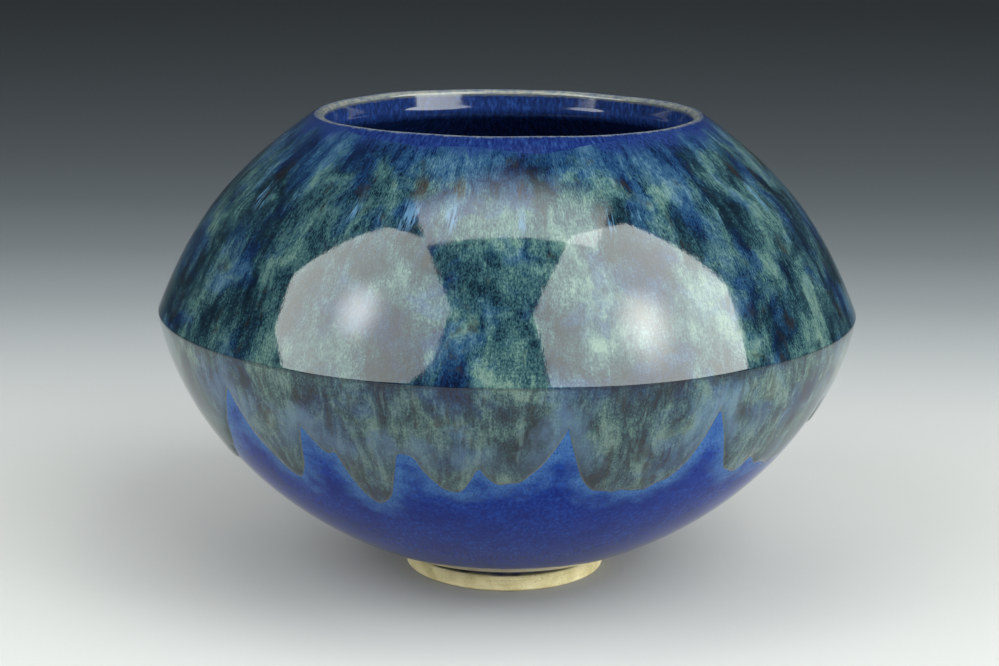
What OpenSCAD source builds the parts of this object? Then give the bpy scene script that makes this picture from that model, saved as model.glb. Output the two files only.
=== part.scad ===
// Yarn bowl: a wheel-thrown, closed-in stoneware pot with a running glaze
//
// The pot is turned about Z and stands on its foot at Z = 0. Its front looks along -Y.
// Every profile is drawn in the plane of X (the radius) and Y (the height), then turned.
// The clay is drawn first, and each coat of glaze is laid on the clay's own line, so that
// clay and glaze meet face to face.

/* [Form] */
// Radius of the clay at the ridge, where the belly meets the shoulder
ridge_r = 88.9; // [86:0.1:92]
// Height of the ridge above the table
ridge_z = 70.6; // [68:0.1:73]
// Height of the pot, to the crest of its lip
pot_h = 120.3; // [118:0.1:124]
// Radius of the mouth, where the shoulder turns into the lip
mouth_r = 49.1; // [47:0.1:52]
// Lean of the belly at the ridge, in degrees from upright
belly_lean = 8; // [4:0.5:12]
// Reach of the belly's curve below the ridge
belly_rise = 20.5; // [16:0.5:24]
// Lean of the belly where it leaves the foot, in degrees from upright
belly_spread = 71.5; // [68:0.5:74]
// Reach of the belly's curve out from the foot
belly_sweep = 43.5; // [38:0.5:46]
// Lean of the shoulder at the ridge, in degrees from upright
shoulder_lean = 22.5; // [18:0.5:26]
// Reach of the shoulder's curve above the ridge
shoulder_rise = 26.5; // [22:0.5:30]
// Lean of the shoulder at the mouth, in degrees from upright
mouth_lean = 53.5; // [50:0.5:57]
// Reach of the shoulder's curve out from the mouth
shoulder_sweep = 26; // [22:0.5:29]

/* [Inside] */
// Greatest radius of the hollow, at the height of the ridge
hollow_r = 82.2; // [80:0.1:83]
// Height of the inside floor at the middle
hollow_z = 8.2; // [7.5:0.1:9.5]
// Reach of the flat floor out from the middle
hollow_flat = 50; // [46:0.5:54]
// Reach of the hollow's curve below its widest line
hollow_rise = 22; // [18:0.5:25]
// Reach of the hollow's curve above its widest line
hollow_turn = 6; // [4:0.5:9]
// Lean of the hollow under the lip, in degrees from upright
hollow_lean = 56; // [53:0.5:58]
// Reach of the hollow's curve out from the lip
hollow_sweep = 30; // [26:0.5:32]

/* [Lip] */
// Radius of the rounded crest
crest_r = 1.3; // [1.1:0.1:1.6]
// Lean of the lip's inner face, in degrees from upright
face_lean = 16; // [12:1:20]
// How far the lip's lower inner corner stands inside the mouth radius
corner_in = 3.2; // [2.8:0.1:3.6]
// How far the same corner lies below the crest
corner_drop = 6.6; // [6:0.1:7.2]
// Length of wall on each side of that corner which its rounding takes
corner_soft = 2.5; // [2:0.1:3]

/* [Foot] */
// Outer radius of the turned foot ring
foot_r = 26.3; // [25.8:0.1:27]
// Height of the foot ring
foot_h = 4.2; // [3.8:0.1:4.4]
// Width of the ring's tread
foot_w = 6; // [5:0.1:7]
// Rounding of the ring's edges
foot_soft = 0.8; // [0.5:0.1:1]
// Radius of the clay in the groove over the foot ring
groove_r = 25.1; // [24.6:0.1:25.4]
// Height at which the belly starts, over the groove
wall_z = 5.6; // [5.3:0.1:6]
// Radius at which the belly starts
wall_r = 26; // [25.6:0.1:26.4]

/* [Glaze] */
// Thickness of the blue coat and of the liner
glaze_t = 0.5; // [0.4:0.05:0.6]
// Thickness of the running coat
run_t = 0.6; // [0.4:0.05:0.7]
// Radius of the rolled bead that ends the blue coat over the foot
bead_r = 0.7; // [0.6:0.05:0.8]
// Height that the bays between two runs of glaze would reach if the runs were far apart
bay_z = 64; // [60:0.5:66]

/* [Hidden] */
$fn = 128;
steps = 20;

// Each run of glaze: the way its tip faces, in degrees round from the front; how far it
// spreads to the left and to the right of that, in degrees; the height of its tip; and how
// blunt it is, from 2 for a pointed run to 4 for a broad one
RUNS = [
    [-70, 12, 22, 36, 2], [-39.5, 9.5, 7.2, 41.5, 2], [-29.5, 6, 5, 51, 2],
    [-23.5, 6.5, 8, 37.5, 2.2], [-15.5, 5, 5, 52.5, 3], [-8.5, 9, 6.5, 43, 2],
    [-0.5, 7, 10.5, 45.5, 2], [20.5, 12, 13.5, 42.5, 4], [44.5, 11, 5, 42, 2],
    [58, 24, 13, 40.5, 2], [76, 12, 9, 44, 2], [88, 9, 11, 38.5, 2.2], [103, 12, 10, 42, 3],
    [117, 9, 10, 46, 2], [131, 10, 12, 37, 2.2], [148, 12, 9, 43, 2], [161, 8, 10, 47, 2],
    [175, 10, 13, 39, 3], [193, 12, 9, 44.5, 2], [206, 9, 10, 40.5, 2], [221, 11, 11, 36.5, 2.2],
    [237, 10, 9, 45, 3], [250, 8, 11, 41, 2], [266, 12, 9, 38, 2.5], [278, 9, 8, 44, 2]];

// --- Curves ---

// A direction in the profile, leaning from upright towards +X
function lean(a) = [sin(a), cos(a)];

// The point at t along the curve whose four control points are q
function on(q, t) = pow(1 - t, 3) * q[0] + 3 * pow(1 - t, 2) * t * q[1]
    + 3 * (1 - t) * t * t * q[2] + pow(t, 3) * q[3];

// The direction of travel at t along the curve q
function heading(q, t) = pow(1 - t, 2) * (q[1] - q[0]) + 2 * (1 - t) * t * (q[2] - q[1])
    + t * t * (q[3] - q[2]);

// The point at t along the curve q, stepped to the right by gap
function beside(q, t, gap) =
    let (h = heading(q, t)) on(q, t) + gap / norm(h) * [h.y, -h.x];

// The points of the curve q between two places on it, stepped to the right by gap
function stretch(q, from, to, gap, n = steps) =
    [for (i = [0 : n]) beside(q, from + (to - from) * i / n, gap)];

// The points of an arc, in degrees from +X
function arc(centre, r, from, to, n) =
    [for (i = [0 : n]) let (a = from + (to - from) * i / n) centre + r * [cos(a), sin(a)]];

function reversed(points) = [for (i = [len(points) - 1 : -1 : 0]) points[i]];

// --- The pot's lines, each travelling upwards, with the clay on the right inside ---

ridge = [ridge_r, ridge_z];
wall_start = [wall_r, wall_z];
crest = [mouth_r - crest_r * cos(mouth_lean), pot_h - crest_r];
mouth = crest + crest_r * [cos(mouth_lean), sin(mouth_lean)];
belly = [wall_start, wall_start + belly_sweep * lean(belly_spread),
         ridge - belly_rise * lean(belly_lean), ridge];
shoulder = [ridge, ridge + shoulder_rise * lean(-shoulder_lean),
            mouth - shoulder_sweep * lean(-mouth_lean), mouth];

widest = [hollow_r, ridge_z];
corner = [mouth_r - corner_in, pot_h - corner_drop];
corner_foot = corner - corner_soft * lean(-hollow_lean);
corner_top = corner + corner_soft * lean(face_lean);
hollow_belly = [[0, hollow_z], [hollow_flat, hollow_z], widest - [0, hollow_rise], widest];
hollow_shoulder = [widest, widest + [0, hollow_turn],
                   corner_foot - hollow_sweep * lean(-hollow_lean), corner_foot];
hollow_corner = [corner_foot, corner_foot + 2 / 3 * (corner - corner_foot),
                 corner_top + 2 / 3 * (corner - corner_top), corner_top];

// Where the inside floor gives way to the wall, and where the wall gives way to the lip
floor_end = 0.2;
lip_start = 0.93;
hollow_lip = 0.97;
// Where the running coat starts on the belly's curve, below the lowest tip
run_start = 0.55;
// Half the width of a run's blunt tip, in degrees
tip_turn = 1.5;
// The places round the crest where the blue coat ends and where the lip's face begins
blue_edge = 70;
face_edge = 180 - face_lean;

// The outer line of the belly, and of the shoulder up to the lip, with gap of glaze on it
function belly_line(gap, from = 0) = stretch(belly, from, 1, gap, steps * (1 - from));
function shoulder_line(gap) = stretch(shoulder, 0, lip_start, gap);

// A coat of glaze turns the ridge's corner on its own thickness
function ridge_line(gap) = [for (a = [-belly_lean / 2, shoulder_lean / 3, shoulder_lean * 0.7])
    ridge + gap * [cos(a), sin(a)]];

// The lines of the hollow, with gap of glaze taken out of it
function floor_line(gap) = stretch(hollow_belly, 0, floor_end, gap, 6);
function hollow_belly_line(gap) = stretch(hollow_belly, floor_end, 1, gap);
function hollow_shoulder_line(gap) = stretch(hollow_shoulder, 0, hollow_lip, gap);
function corner_line(gap) = stretch(hollow_corner, 0.1, 1, gap, 6);

// The lip's outer line, and the part of it that the blue coat covers
lip_line = stretch(shoulder, lip_start, 1, 0, 2);
blue_lip_line = concat(lip_line, arc(crest, crest_r, mouth_lean + 8, blue_edge, 1));

// --- Clay ---

module turned(points) rotate_extrude() polygon(points);

// The ring that is trimmed out of the base, and that the pot stands on
module foot_ring() {
    r_in = foot_r - foot_w;
    color("wheat") turned(concat(
        arc([foot_r - foot_soft, foot_soft], foot_soft, -90, 0, 4),
        arc([foot_r - foot_soft, foot_h - foot_soft], foot_soft, 0, 90, 4),
        [[r_in - foot_soft, foot_h]],
        arc([r_in + foot_soft, foot_soft], foot_soft, -180, -90, 4)));
}

// The clay that closes the bottom, over the recess inside the foot ring
module floor_disc() {
    color("tan") turned(concat(
        [[0, foot_h], [groove_r, foot_h], [groove_r, wall_z]], reversed(floor_line(glaze_t))));
}

// The lower half of the pot, from the floor out to the ridge
module belly_wall() {
    color("burlywood") turned(concat(
        [[groove_r, wall_z]], belly_line(0), reversed(hollow_belly_line(glaze_t))));
}

// The upper half of the pot, from the ridge in to the lip
module shoulder_wall() {
    color("burlywood") turned(concat(
        shoulder_line(0), reversed(hollow_shoulder_line(glaze_t))));
}

// The thickened edge of the mouth, whose crest the glaze leaves nearly bare
module lip() {
    wall_end = beside(hollow_shoulder, hollow_lip, glaze_t);
    color("ivory") turned(concat(
        blue_lip_line, arc(crest, crest_r, blue_edge + 10, face_edge, 7),
        reversed(corner_line(glaze_t)), [wall_end]));
}

// --- Glaze ---

// The coat inside, which thins out up the lip's inner face
module liner_glaze() {
    edge = crest + crest_r * [cos(face_edge), sin(face_edge)];
    color("midnightblue") turned(concat(
        floor_line(glaze_t), hollow_belly_line(glaze_t), hollow_shoulder_line(glaze_t),
        corner_line(glaze_t), [edge], reversed(corner_line(0)),
        reversed(hollow_shoulder_line(0)), reversed(hollow_belly_line(0)),
        reversed(floor_line(0))));
}

// The coat all over the outside, from a rolled bead over the foot up to the lip
module blue_glaze() {
    bead = wall_start + bead_r * [0.3, -0.2];
    bead_end = 0.05;
    color("royalblue") turned(concat(
        reversed(blue_lip_line), reversed(shoulder_line(0)), reversed(belly_line(0)),
        arc(bead, bead_r, -170, -60, 5), belly_line(glaze_t, bead_end), ridge_line(glaze_t),
        shoulder_line(glaze_t), [beside(shoulder, 1, glaze_t * 0.7)]));
}

// How much of its length a run still has at a turn of a degrees from its tip
function fullness(run, a) = 1 - pow(min(1, abs(a) / (a < 0 ? run[1] : run[2])), run[4]);

// The shorter way round from the direction b to the direction a
function turn_to(a, b) = let (d = (a - b) % 360) d > 180 ? d - 360 : d < -180 ? d + 360 : d;

// Height of the running coat's lower edge in the direction a
function edge_z(a) = min([for (run = RUNS)
    bay_z - (bay_z - run[3]) * fullness(run, turn_to(a, run[0]))]);

// Cuts away the bay between two neighbouring runs, whose tips face from and to. Each run
// keeps a blunt tip, tip_turn degrees wide on either side, which no cut touches.
module bay(from, to) {
    middle = (from + to) / 2;
    spread = to - from - 2 * tip_turn;
    surface = [for (p = belly_line(glaze_t + run_t)) [p.y, p.x]];
    edge = [for (i = [0 : 10]) let (a = from + tip_turn + spread * i / 10, z = edge_z(a))
        [lookup(z, surface) * sin(a - middle), z]];
    below = ridge_z / 3;
    rotate(middle) rotate([90, 0, 0]) linear_extrude(height = 2 * ridge_r)
        polygon(concat(edge, [[edge[10].x, below], [edge[0].x, below]]));
}

// The coat over the blue one, which melts and runs down the belly in the fire
module running_glaze() {
    gap = glaze_t + run_t;
    last = len(RUNS) - 1;
    color("teal") difference() {
        turned(concat(
            belly_line(glaze_t, run_start), ridge_line(glaze_t), shoulder_line(glaze_t),
            [for (i = [steps - 1 : -1 : 0]) shoulder_line(gap)[i]],
            reversed(ridge_line(gap)), reversed(belly_line(gap, run_start))));
        for (i = [0 : last])
            bay(RUNS[i][0], i == last ? RUNS[0][0] + 360 : RUNS[i + 1][0]);
    }
}

foot_ring();
floor_disc();
belly_wall();
shoulder_wall();
lip();
liner_glaze();
blue_glaze();
running_glaze();
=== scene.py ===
# %% [markdown]
# # A yarn bowl with a running glaze
#
# The pot is thrown on a wheel in one piece of stoneware: a small foot, a belly that opens out
# to a sharp ridge, and a shoulder that closes in again to a round mouth. It carries a blue
# coat all over, a second coat that ran down over it in the fire, and a dark liner inside.
# This script turns each of those parts on the pot's own axis, gives each its finish, and sets
# up a plain studio round them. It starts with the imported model, which fixes every size.

import math

import bpy
import numpy as np
from mathutils import Matrix, Vector, kdtree


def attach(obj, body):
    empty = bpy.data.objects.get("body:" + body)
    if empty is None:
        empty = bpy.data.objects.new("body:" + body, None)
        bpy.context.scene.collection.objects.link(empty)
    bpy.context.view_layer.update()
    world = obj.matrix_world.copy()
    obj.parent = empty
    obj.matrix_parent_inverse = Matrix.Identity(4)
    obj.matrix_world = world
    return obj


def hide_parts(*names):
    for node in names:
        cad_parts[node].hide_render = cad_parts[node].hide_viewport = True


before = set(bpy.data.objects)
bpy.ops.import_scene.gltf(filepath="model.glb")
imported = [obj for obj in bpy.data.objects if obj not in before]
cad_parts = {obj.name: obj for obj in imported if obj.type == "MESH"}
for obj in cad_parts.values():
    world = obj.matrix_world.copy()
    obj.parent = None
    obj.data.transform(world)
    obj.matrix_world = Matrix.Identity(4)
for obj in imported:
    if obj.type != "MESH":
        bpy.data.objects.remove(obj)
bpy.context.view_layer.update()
print("packed pieces:", sorted(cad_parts))

# %% [markdown]
# ## The camera
#
# The camera comes first, so that every later step can be looked at. It stands about half a
# metre in front, a little above the mouth, and looks slightly down with a long lens. A long
# lens keeps the round mouth and the ridge from bulging.

# %% Camera
CAMERA_AT = (-0.0019, -0.5199, 0.1848)
CAMERA_LENS = 73.35
CAMERA_DOWN = math.radians(13.28)
CAMERA_ROLL = math.radians(0.5)

camera_data = bpy.data.cameras.new("studio_camera")
camera_data.lens = CAMERA_LENS
camera_data.sensor_width = 36
camera_data.clip_start = 0.01
camera_data.clip_end = 60
camera = bpy.data.objects.new("studio_camera", camera_data)
camera.location = CAMERA_AT
tilt = Matrix.Rotation(math.pi / 2 - CAMERA_DOWN, 3, "X")
camera.rotation_euler = (tilt @ Matrix.Rotation(CAMERA_ROLL, 3, "Z")).to_euler()
bpy.context.scene.collection.objects.link(camera)
bpy.context.scene.camera = camera
print("camera at", CAMERA_AT)

# %% [markdown]
# ## The lines of the pot
#
# A turned pot is one profile swept round an axis, so its shape is a few curves. Each curve is
# a cubic with four handles: where it starts, which way it leaves, which way it arrives and
# where it ends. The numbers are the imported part's own, in metres, so that the finished
# pieces lie exactly where the solids lie.

# %% Curves of the profile
RIDGE = Vector((0.0889, 0.0706))
POT_HEIGHT = 0.1203
MOUTH_RADIUS = 0.0491
CREST_RADIUS = 0.0013
MOUTH_LEAN = 53.5
GLAZE = 0.0005
RUN = 0.0006
BELLY_LEAN = 8
BELLY_RISE = 0.0205
BELLY_SPREAD = 71.5
BELLY_SWEEP = 0.0435
SHOULDER_LEAN = 22.5
SHOULDER_RISE = 0.0265
SHOULDER_SWEEP = 0.026
HOLLOW_RADIUS = 0.0822
HOLLOW_HEIGHT = 0.0082
HOLLOW_FLAT = 0.05
HOLLOW_RISE = 0.022
HOLLOW_TURN = 0.006
HOLLOW_LEAN = 56
HOLLOW_SWEEP = 0.03
CORNER_IN = 0.0032
CORNER_DROP = 0.0066
CORNER_SOFT = 0.0025
FACE_LEAN = 16


def lean(degrees):
    """A direction in the profile, leaning from upright towards the outside."""
    return Vector((math.sin(math.radians(degrees)), math.cos(math.radians(degrees))))


def on_curve(handles, t):
    """The point at t along a cubic curve."""
    a, b, c, d = handles
    s = 1 - t
    return s**3 * a + 3 * s * s * t * b + 3 * s * t * t * c + t**3 * d


def side_of_curve(handles, t):
    """The direction square to the curve at t, on its right."""
    a, b, c, d = handles
    s = 1 - t
    way = s * s * (b - a) + 2 * s * t * (c - b) + t * t * (d - c)
    return Vector((way.y, -way.x)).normalized()


def arc(centre, radius, start, end, count):
    """Points round an arc, in degrees from the outside."""
    turn = [math.radians(start + (end - start) * i / count) for i in range(count + 1)]
    return [centre + radius * Vector((math.cos(a), math.sin(a))) for a in turn]


wall_start = Vector((0.026, 0.0056))
crest_flat = Vector((math.cos(math.radians(MOUTH_LEAN)), math.sin(math.radians(MOUTH_LEAN))))
crest = Vector((MOUTH_RADIUS - CREST_RADIUS * crest_flat.x, POT_HEIGHT - CREST_RADIUS))
mouth = crest + CREST_RADIUS * crest_flat
belly = [
    wall_start,
    wall_start + BELLY_SWEEP * lean(BELLY_SPREAD),
    RIDGE - BELLY_RISE * lean(BELLY_LEAN),
    RIDGE,
]
shoulder = [
    RIDGE,
    RIDGE + SHOULDER_RISE * lean(-SHOULDER_LEAN),
    mouth - SHOULDER_SWEEP * lean(-MOUTH_LEAN),
    mouth,
]

widest = Vector((HOLLOW_RADIUS, RIDGE.y))
corner = Vector((MOUTH_RADIUS - CORNER_IN, POT_HEIGHT - CORNER_DROP))
corner_foot = corner - CORNER_SOFT * lean(-HOLLOW_LEAN)
corner_top = corner + CORNER_SOFT * lean(FACE_LEAN)
hollow_belly = [
    Vector((0, HOLLOW_HEIGHT)),
    Vector((HOLLOW_FLAT, HOLLOW_HEIGHT)),
    widest - Vector((0, HOLLOW_RISE)),
    widest,
]
hollow_shoulder = [
    widest,
    widest + Vector((0, HOLLOW_TURN)),
    corner_foot - HOLLOW_SWEEP * lean(-HOLLOW_LEAN),
    corner_foot,
]
hollow_corner = [
    corner_foot,
    corner_foot + 2 / 3 * (corner - corner_foot),
    corner_top + 2 / 3 * (corner - corner_top),
    corner_top,
]
print("ridge", tuple(RIDGE), "mouth", tuple(mouth))

# %% [markdown]
# ## A ruler along the wall
#
# A glaze is laid on a wall, so it is easiest to place by two measures: how far up the wall a
# point is, counted from the ridge, and how thick the coat is there. This ruler turns those
# two measures into a radius and a height. At the ridge the wall changes direction, and the
# ruler turns through that corner in a few short steps, so every coat rounds it softly.

# %% The ruler
CORNER_TURN = 0.0003
CORNER_POINTS = 5


def measure(handles, count):
    """Points, outward directions and distances along one curve."""
    ts = [i / count for i in range(count + 1)]
    points = np.array([on_curve(handles, t) for t in ts])
    sides = np.array([side_of_curve(handles, t) for t in ts])
    steps = np.linalg.norm(np.diff(points, axis=0), axis=1)
    return points, sides, np.concatenate([[0], np.cumsum(steps)])


belly_points, belly_sides, belly_way = measure(belly, 300)
top_points, top_sides, top_way = measure(shoulder, 240)
corner_angles = np.radians(np.linspace(-BELLY_LEAN, SHOULDER_LEAN, CORNER_POINTS + 2)[1:-1])
corner_sides = np.column_stack([np.cos(corner_angles), np.sin(corner_angles)])
corner_points = np.array([RIDGE] * CORNER_POINTS)
corner_way = np.linspace(-CORNER_TURN, CORNER_TURN, CORNER_POINTS + 2)[1:-1]
ruler_way = np.concatenate(
    [belly_way - belly_way[-1] - CORNER_TURN, corner_way, top_way + CORNER_TURN]
)
ruler_points = np.vstack([belly_points, corner_points, top_points])
ruler_sides = np.vstack([belly_sides, corner_sides, top_sides])
FOOT_END = float(ruler_way[0])
LIP_END = float(ruler_way[-1])


def on_wall(rise, gap):
    """Radius and height of a point that is rise up from the ridge and gap off the clay."""
    point = [np.interp(rise, ruler_way, ruler_points[:, k]) for k in (0, 1)]
    side = [np.interp(rise, ruler_way, ruler_sides[:, k]) for k in (0, 1)]
    size = np.hypot(side[0], side[1])
    return point[0] + gap * side[0] / size, point[1] + gap * side[1] / size


def rise_at_height(z):
    """How far up the wall the height z is, on the belly."""
    return np.interp(z, belly_points[:, 1], ruler_way[: len(belly_points)])


print("wall from", round(FOOT_END, 4), "to", round(LIP_END, 4), "m from the ridge")

# %% [markdown]
# ## Turning a profile
#
# Spin is to a mesh what the wheel is to clay. Each piece starts as a flat circle of
# vertices, which is a closed loop. Its vertices are set on the outline of the piece's wall,
# and the spin operator sweeps that loop once round the axis. Every vertex remembers its
# station, its place in the outline, so that it can be nudged afterwards.

# %% Turning tools
def deselect_all():
    """Leaves nothing selected, so that the next operator acts on its own piece only."""
    for thing in bpy.context.selected_objects:
        thing.select_set(False)


def turn_piece(name, outline, steps, on_axis=False):
    """Spins a closed outline of (radius, height) points round the pot's axis."""
    deselect_all()
    bpy.ops.mesh.primitive_circle_add(vertices=len(outline), radius=0.01)
    piece = bpy.context.object
    piece.name = name
    piece.data.name = name
    station = piece.data.attributes.new("station", "INT", "POINT")
    for vertex, (radius, height) in zip(piece.data.vertices, outline):
        vertex.co = (0, -radius, height)
        station.data[vertex.index].value = vertex.index
    if on_axis:
        bpy.ops.object.mode_set(mode="EDIT")
        bpy.ops.mesh.select_mode(type="EDGE")
        bpy.ops.mesh.select_all(action="DESELECT")
        bpy.ops.object.mode_set(mode="OBJECT")
        spots = [vertex.co for vertex in piece.data.vertices]
        for edge in piece.data.edges:
            edge.select = all(abs(spots[v].y) < 1e-7 for v in edge.vertices)
        bpy.ops.object.mode_set(mode="EDIT")
        bpy.ops.mesh.delete(type="EDGE_FACE")
        bpy.ops.object.mode_set(mode="OBJECT")
    bpy.ops.object.mode_set(mode="EDIT")
    bpy.ops.mesh.select_mode(type="VERT")
    bpy.ops.mesh.select_all(action="SELECT")
    bpy.ops.mesh.spin(steps=steps, angle=2 * math.pi, center=(0, 0, 0), axis=(0, 0, 1))
    bpy.ops.mesh.select_all(action="SELECT")
    bpy.ops.mesh.remove_doubles(threshold=2e-6)
    bpy.ops.mesh.normals_make_consistent(inside=False)
    bpy.ops.object.mode_set(mode="OBJECT")
    return piece


def read_piece(piece):
    """The places, stations and directions round the pot of a piece's vertices."""
    count = len(piece.data.vertices)
    spots = np.empty(count * 3)
    piece.data.vertices.foreach_get("co", spots)
    spots = spots.reshape(-1, 3)
    stations = np.empty(count, dtype=np.int32)
    piece.data.attributes["station"].data.foreach_get("value", stations)
    turn = np.degrees(np.arctan2(spots[:, 0], -spots[:, 1]))
    return spots, stations, turn


def place_vertices(piece, turn, radius, height):
    """Sets every vertex from its direction round the pot, its radius and its height."""
    angle = np.radians(turn)
    spots = np.column_stack([radius * np.sin(angle), -radius * np.cos(angle), height])
    piece.data.vertices.foreach_set("co", spots.ravel())
    piece.data.update()


def keep_measure(piece, name, values):
    """Writes one number for each vertex, for a material to read."""
    mark = piece.data.attributes.new(name, "FLOAT", "POINT")
    mark.data.foreach_set("value", np.asarray(values, dtype=np.float32))


def finish_piece(piece, smooth_angle, replaced):
    """Smooths a piece, hangs it on the pot and puts it in the place of its solid."""
    deselect_all()
    piece.select_set(True)
    bpy.context.view_layer.objects.active = piece
    bpy.ops.object.shade_smooth_by_angle(angle=math.radians(smooth_angle))
    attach(piece, "root")
    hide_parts(replaced)
    print(piece.name, len(piece.data.polygons), "faces")


# %% [markdown]
# ## The edge of the running coat
#
# In the fire the second coat melts and runs down the belly in tongues, and stops where it
# cools. Each tongue is written down by the way it faces, its width on either side, the
# height of its tip and how blunt it is. The coat's edge is the lowest of all tongues at each
# direction, with a small tremble on top, because a melt never leaves a clean curve.

# %% Tongues of glaze
TONGUES = [
    (-70, 12, 22, 0.036, 2), (-39.5, 9.5, 7.2, 0.0415, 2), (-29.5, 6, 5, 0.051, 2),
    (-23.5, 6.5, 8, 0.0375, 2.2), (-15.5, 5, 5, 0.0525, 3), (-8.5, 9, 6.5, 0.043, 2),
    (-0.5, 7, 10.5, 0.0455, 2), (20.5, 12, 13.5, 0.0425, 4), (44.5, 11, 5, 0.042, 2),
    (58, 24, 13, 0.0405, 2), (76, 12, 9, 0.044, 2), (88, 9, 11, 0.0385, 2.2),
    (103, 12, 10, 0.042, 3), (117, 9, 10, 0.046, 2), (131, 10, 12, 0.037, 2.2),
    (148, 12, 9, 0.043, 2), (161, 8, 10, 0.047, 2), (175, 10, 13, 0.039, 3),
    (193, 12, 9, 0.0445, 2), (206, 9, 10, 0.0405, 2), (221, 11, 11, 0.0365, 2.2),
    (237, 10, 9, 0.045, 3), (250, 8, 11, 0.041, 2), (266, 12, 9, 0.038, 2.5),
    (278, 9, 8, 0.044, 2),
]
BAY_HEIGHT = 0.064
TREMBLE = 0.0003


def edge_height(turn):
    """Height of the running coat's edge in each direction round the pot."""
    lowest = np.full(np.shape(turn), BAY_HEIGHT)
    for facing, left, right, tip, blunt in TONGUES:
        off = (np.asarray(turn) - facing + 180) % 360 - 180
        share = np.minimum(1, np.abs(off) / np.where(off < 0, left, right))
        lowest = np.minimum(lowest, BAY_HEIGHT - (BAY_HEIGHT - tip) * (1 - share**blunt))
    angle = np.radians(turn)
    shake = np.sin(41 * angle + 1) + 0.7 * np.sin(67 * angle + 2.2)
    shake = shake + 0.5 * np.sin(113 * angle + 0.4)
    return lowest + TREMBLE * shake


edge_turns = np.arange(-200, 200, 0.1)
edge_rises = rise_at_height(edge_height(edge_turns))
EDGE_RADIUS = 0.078
edge_finder = kdtree.KDTree(len(edge_turns))
for index, (turn, rise) in enumerate(zip(edge_turns, edge_rises)):
    edge_finder.insert((math.radians(turn) * EDGE_RADIUS, rise, 0), index)
edge_finder.balance()


def off_edge(turn, rise):
    """Distance from the running coat's edge, positive above it."""
    rises = rise_at_height(edge_height(turn))
    near = [
        edge_finder.find((math.radians(t) * EDGE_RADIUS, r, 0))[2]
        for t, r in zip(turn, rise)
    ]
    return np.where(rise >= rises, 1, -1) * np.array(near)


print("edge between", edge_height(edge_turns).min(), "and", edge_height(edge_turns).max())

# %% [markdown]
# ## Marks of the hand
#
# A thrown lip is never quite level. These small waves lift and drop the lip by a tenth of a
# millimetre or two, and by nearly four tenths where they add up. They fade out down the wall.
# The lip, the blue coat and the liner all use them, so the layers stay together.

# %% Unevenness of the lip
LIP_WAVE = 0.00016
WAVE_START = 0.108
WAVE_SPAN = 0.012


def lip_wave(turn, height):
    """How far the hand lifted the wall here."""
    angle = np.radians(turn)
    wave = np.sin(2 * angle + 1.1) + 0.7 * np.sin(3 * angle + 2.6)
    wave = wave + 0.4 * np.sin(7 * angle + 0.3) + 0.25 * np.sin(12 * angle)
    near_lip = np.clip((height - WAVE_START) / WAVE_SPAN, 0, 1)
    return LIP_WAVE * wave * near_lip**2


print("the lip waves above", WAVE_START, "m")

# %% [markdown]
# ## Foot ring
#
# The foot is left bare, because glaze would stick it to the kiln shelf. It is cut from the
# leather-hard base with a loop tool, which leaves fine level lines in the clay. A ring could
# be cut from a cylinder, but turning its section gives the rounded edges and the tool's
# lines in one go.

# %% Foot ring
FOOT_RADIUS = 0.0263
FOOT_HEIGHT = 0.0042
FOOT_WIDTH = 0.006
FOOT_SOFT = 0.0008
TOOL_LINE = 0.00006
TOOL_ROWS = 24
FOOT_WANDER = 0.00005

outer_wall = []
for i in range(TOOL_ROWS + 1):
    height = FOOT_SOFT + (FOOT_HEIGHT - 2 * FOOT_SOFT) * i / TOOL_ROWS
    cut = TOOL_LINE * (math.sin(i * 1.9) + 0.6 * math.sin(i * 0.83 + 1))
    outer_wall.append(Vector((FOOT_RADIUS - abs(cut), height)))
foot_in = FOOT_RADIUS - FOOT_WIDTH
foot_outline = (
    arc(Vector((FOOT_RADIUS - FOOT_SOFT, FOOT_SOFT)), FOOT_SOFT, -90, -8, 7)
    + outer_wall
    + arc(Vector((FOOT_RADIUS - FOOT_SOFT, FOOT_HEIGHT - FOOT_SOFT)), FOOT_SOFT, 8, 90, 7)
    + [Vector((foot_in - FOOT_SOFT, FOOT_HEIGHT))]
    + arc(Vector((foot_in + FOOT_SOFT, FOOT_SOFT)), FOOT_SOFT, -180, -90, 8)
)
foot_ring = turn_piece("turned_foot_ring", foot_outline, 192)
spots, stations, turn = read_piece(foot_ring)
radius = np.hypot(spots[:, 0], spots[:, 1])
angle = np.radians(turn)
wander = FOOT_WANDER * (np.sin(3 * angle + 1) + 0.6 * np.sin(8 * angle))
lifted = spots[:, 2] > 0.0003
place_vertices(foot_ring, turn, radius + wander * lifted, spots[:, 2])
finish_piece(foot_ring, 35, "foot_ring")

# %% [markdown]
# ## Floor of the pot
#
# Inside the foot ring the base is hollowed out by the same tool, working from the rim to
# the middle. It leaves a shallow spiral. The disc is turned from its section, whose inner
# ends lie on the axis, and the spiral is pressed into its underside afterwards.

# %% Floor disc
FLOOR_END = 0.2
GROOVE_RADIUS = 0.0251
UNDER_ROWS = 44
FLOOR_ROWS = 24
SPIRAL_STEP = 0.0021
SPIRAL_DEPTH = 0.00014
SPIRAL_FADE = 0.002

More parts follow.
